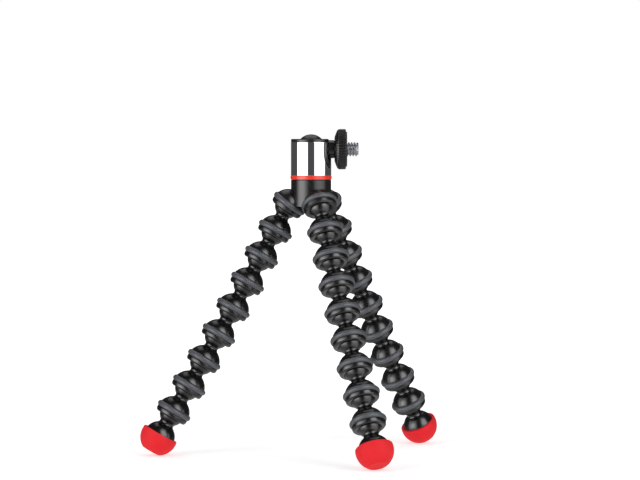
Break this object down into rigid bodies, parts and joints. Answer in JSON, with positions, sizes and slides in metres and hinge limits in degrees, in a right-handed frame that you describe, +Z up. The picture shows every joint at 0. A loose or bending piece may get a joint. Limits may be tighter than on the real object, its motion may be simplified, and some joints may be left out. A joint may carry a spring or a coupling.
{
  "type": "flexible leg tripod",
  "caption": "Small tripod with bendable legs of ball and socket links, soft grip rings and rubber feet, under a slotted ball head with a threaded stud and locking ring.",
  "frame": {"origin": "on the floor, in the middle of the footprint's box", "axes": "+Z up, +X along the mount screw, the front leg towards -Y"},
  "size_m": [0.1326, 0.1238, 0.1433],
  "materials": {
    "link_black": "glossy moulded ABS",
    "hub_black": "satin moulded ABS",
    "grip_grey": "soft moulded rubber",
    "trim_red": "satin red",
    "boot_red": "smooth red rubber",
    "polished_collar": "polished",
    "steel": "plain",
    "seat_white": "natural acetal",
    "pad_black": "matt rubber"
  },
  "bodies": {
    "hub": {"hub": "hub_black", "hub_grips": "grip_grey", "trim_ring": "trim_red"},
    "head": {"collar": "polished_collar", "retaining_ring": "hub_black", "spring_washer": "steel", "ball_seat": "seat_white", "pivot_screw": "steel"},
    "head_ball": {"head_ball": "link_black", "mount_screw": "steel"},
    "locking_ring": {"locking_ring": "hub_black", "mount_pad": "pad_black"},
    "left_link_1": {"left_link_1": "link_black"},
    "left_link_2": {"left_link_2": "link_black"},
    "left_link_3": {"left_link_3": "link_black"},
    "left_link_4": {"left_link_4": "link_black"},
    "left_link_5": {"left_link_5": "link_black"},
    "left_link_6": {"left_link_6": "link_black"},
    "left_link_7": {"left_link_7": "link_black"},
    "left_link_8": {"left_link_8": "link_black"},
    "left_foot": {"left_foot": "link_black", "left_boot": "boot_red"},
    "front_link_1": {"front_link_1": "link_black"},
    "front_link_2": {"front_link_2": "link_black"},
    "front_link_3": {"front_link_3": "link_black"},
    "front_link_4": {"front_link_4": "link_black"},
    "front_link_5": {"front_link_5": "link_black"},
    "front_link_6": {"front_link_6": "link_black"},
    "front_link_7": {"front_link_7": "link_black"},
    "front_link_8": {"front_link_8": "link_black"},
    "front_foot": {"front_foot": "link_black", "front_boot": "boot_red"},
    "right_link_1": {"right_link_1": "link_black"},
    "right_link_2": {"right_link_2": "link_black"},
    "right_link_3": {"right_link_3": "link_black"},
    "right_link_4": {"right_link_4": "link_black"},
    "right_link_5": {"right_link_5": "link_black"},
    "right_link_6": {"right_link_6": "link_black"},
    "right_link_7": {"right_link_7": "link_black"},
    "right_link_8": {"right_link_8": "link_black"},
    "right_foot": {"right_foot": "link_black", "right_boot": "boot_red"}
  },
  "joints": [
    {"name": "head_pan", "type": "hinge", "parent": "hub", "child": "head", "pos_m": [0.00873, 0.00815, 0.12113], "axis": [0, 0, 1], "continuous": true},
    {"name": "ball_tilt", "type": "hinge", "parent": "head", "child": "head_ball", "pos_m": [0.00873, 0.00815, 0.13446], "axis": [0, -1, 0], "range_deg": [0, 90]},
    {"name": "ring_spin", "type": "hinge", "parent": "head_ball", "child": "locking_ring", "pos_m": [0.00873, 0.00815, 0.13446], "axis": [1, 0, 0], "continuous": true},
    {"name": "left_link_1_swing", "type": "hinge", "parent": "hub", "child": "left_link_1", "pos_m": [-0.0017, 0.00962, 0.10935], "axis": [-0.1219, 0.9925, 0], "range_deg": [-20, 35]},
    {"name": "left_link_2_sway", "type": "hinge", "parent": "left_link_1", "child": "left_link_2", "pos_m": [-0.00768, 0.00888, 0.09779], "axis": [-0.8764, -0.1076, 0.4695], "range_deg": [-30, 30]},
    {"name": "left_link_3_swing", "type": "hinge", "parent": "left_link_2", "child": "left_link_3", "pos_m": [-0.01375, 0.00814, 0.08629], "axis": [0.1219, -0.9925, 0], "range_deg": [-30, 30]},
    {"name": "left_link_4_sway", "type": "hinge", "parent": "left_link_3", "child": "left_link_4", "pos_m": [-0.01992, 0.00738, 0.07484], "axis": [0.8681, 0.1066, -0.4848], "range_deg": [-30, 30]},
    {"name": "left_link_5_swing", "type": "hinge", "parent": "left_link_4", "child": "left_link_5", "pos_m": [-0.02619, 0.00661, 0.06344], "axis": [-0.1219, 0.9925, 0], "range_deg": [-30, 30]},
    {"name": "left_link_6_sway", "type": "hinge", "parent": "left_link_5", "child": "left_link_6", "pos_m": [-0.03256, 0.00583, 0.0521], "axis": [-0.8596, -0.1055, 0.5], "range_deg": [-30, 30]},
    {"name": "left_link_7_swing", "type": "hinge", "parent": "left_link_6", "child": "left_link_7", "pos_m": [-0.03902, 0.00503, 0.04081], "axis": [0.1219, -0.9925, 0], "range_deg": [-30, 30]},
    {"name": "left_link_8_sway", "type": "hinge", "parent": "left_link_7", "child": "left_link_8", "pos_m": [-0.04559, 0.00423, 0.02959], "axis": [0.8508, 0.1045, -0.515], "range_deg": [-30, 30]},
    {"name": "left_foot_swing", "type": "hinge", "parent": "left_link_8", "child": "left_foot", "pos_m": [-0.05225, 0.00341, 0.01842], "axis": [-0.1219, 0.9925, 0], "range_deg": [-30, 30]},
    {"name": "front_link_1_swing", "type": "hinge", "parent": "hub", "child": "front_link_1", "pos_m": [0.01268, -0.00162, 0.10935], "axis": [-0.9171, -0.3987, 0], "range_deg": [-20, 35]},
    {"name": "front_link_2_sway", "type": "hinge", "parent": "front_link_1", "child": "front_link_2", "pos_m": [0.01508, -0.00714, 0.09779], "axis": [0.3521, -0.8097, 0.4695], "range_deg": [-30, 30]},
    {"name": "front_link_3_swing", "type": "hinge", "parent": "front_link_2", "child": "front_link_3", "pos_m": [0.01752, -0.01275, 0.08629], "axis": [0.9171, 0.3987, 0], "range_deg": [-30, 30]},
    {"name": "front_link_4_sway", "type": "hinge", "parent": "front_link_3", "child": "front_link_4", "pos_m": [0.02, -0.01845, 0.07484], "axis": [-0.3488, 0.8021, -0.4848], "range_deg": [-30, 30]},
    {"name": "front_link_5_swing", "type": "hinge", "parent": "front_link_4", "child": "front_link_5", "pos_m": [0.02252, -0.02424, 0.06344], "axis": [-0.9171, -0.3987, 0], "range_deg": [-30, 30]},
    {"name": "front_link_6_sway", "type": "hinge", "parent": "front_link_5", "child": "front_link_6", "pos_m": [0.02507, -0.03013, 0.0521], "axis": [0.3453, -0.7942, 0.5], "range_deg": [-30, 30]},
    {"name": "front_link_7_swing", "type": "hinge", "parent": "front_link_6", "child": "front_link_7", "pos_m": [0.02767, -0.0361, 0.04081], "axis": [0.9171, 0.3987, 0], "range_deg": [-30, 30]},
    {"name": "front_link_8_sway", "type": "hinge", "parent": "front_link_7", "child": "front_link_8", "pos_m": [0.03031, -0.04217, 0.02959], "axis": [-0.3418, 0.7861, -0.515], "range_deg": [-30, 30]},
    {"name": "front_foot_swing", "type": "hinge", "parent": "front_link_8", "child": "front_foot", "pos_m": [0.03298, -0.04832, 0.01842], "axis": [-0.9171, -0.3987, 0], "range_deg": [-30, 30]},
    {"name": "right_link_1_swing", "type": "hinge", "parent": "hub", "child": "right_link_1", "pos_m": [0.01522, 0.01645, 0.10935], "axis": [0.6561, -0.7547, 0], "range_deg": [-20, 35]},
    {"name": "right_link_2_sway", "type": "hinge", "parent": "right_link_1", "child": "right_link_2", "pos_m": [0.01976, 0.0204, 0.09779], "axis": [0.6664, 0.5793, 0.4695], "range_deg": [-30, 30]},
    {"name": "right_link_3_swing", "type": "hinge", "parent": "right_link_2", "child": "right_link_3", "pos_m": [0.02438, 0.02441, 0.08629], "axis": [-0.6561, 0.7547, 0], "range_deg": [-30, 30]},
    {"name": "right_link_4_sway", "type": "hinge", "parent": "right_link_3", "child": "right_link_4", "pos_m": [0.02907, 0.02849, 0.07484], "axis": [-0.6601, -0.5738, -0.4848], "range_deg": [-30, 30]},
    {"name": "right_link_5_swing", "type": "hinge", "parent": "right_link_4", "child": "right_link_5", "pos_m": [0.03384, 0.03264, 0.06344], "axis": [0.6561, -0.7547, 0], "range_deg": [-30, 30]},
    {"name": "right_link_6_sway", "type": "hinge", "parent": "right_link_5", "child": "right_link_6", "pos_m": [0.03868, 0.03685, 0.0521], "axis": [0.6536, 0.5682, 0.5], "range_deg": [-30, 30]},
    {"name": "right_link_7_swing", "type": "hinge", "parent": "right_link_6", "child": "right_link_7", "pos_m": [0.0436, 0.04112, 0.04081], "axis": [-0.6561, 0.7547, 0], "range_deg": [-30, 30]},
    {"name": "right_link_8_sway", "type": "hinge", "parent": "right_link_7", "child": "right_link_8", "pos_m": [0.04859, 0.04546, 0.02959], "axis": [-0.6469, -0.5624, -0.515], "range_deg": [-30, 30]},
    {"name": "right_foot_swing", "type": "hinge", "parent": "right_link_8", "child": "right_foot", "pos_m": [0.05365, 0.04986, 0.01842], "axis": [0.6561, -0.7547, 0], "range_deg": [-30, 30]}
  ]
}
